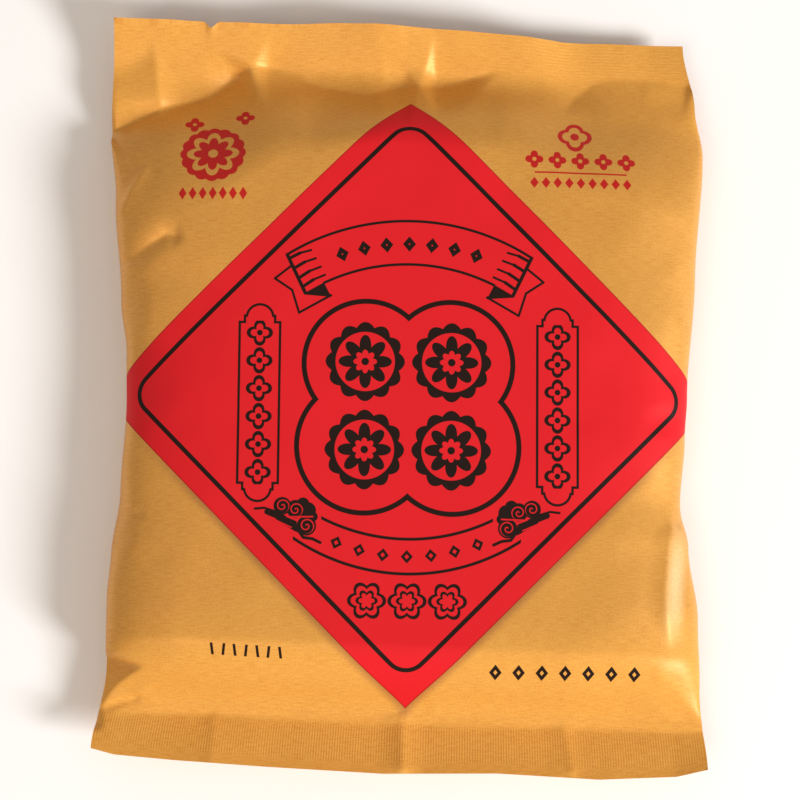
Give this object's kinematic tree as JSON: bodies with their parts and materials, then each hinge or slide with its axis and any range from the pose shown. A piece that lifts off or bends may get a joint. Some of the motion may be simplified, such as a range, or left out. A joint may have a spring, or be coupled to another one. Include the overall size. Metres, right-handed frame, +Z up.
{
  "type": "sealed pack of mooncakes",
  "caption": "Sealed paper-film pillow pack of mooncakes, lying on its back: a flat filled middle, crimped seals at both ends and a tear notch at the top.",
  "frame": {"origin": "middle of the pack's outline, on the flat face that it lies on", "axes": "+X across the pack to the right of the printed face, +Y along it to the top seal with the tear notch, +Z up out of the printed face"},
  "size_m": [0.1995, 0.2501, 0.0275],
  "materials": {
    "paper_film": "satin kraft-look film, printed with a red diamond and black line work"
  },
  "bodies": {
    "root": {"pack": "paper_film"}
  },
  "joints": []
}
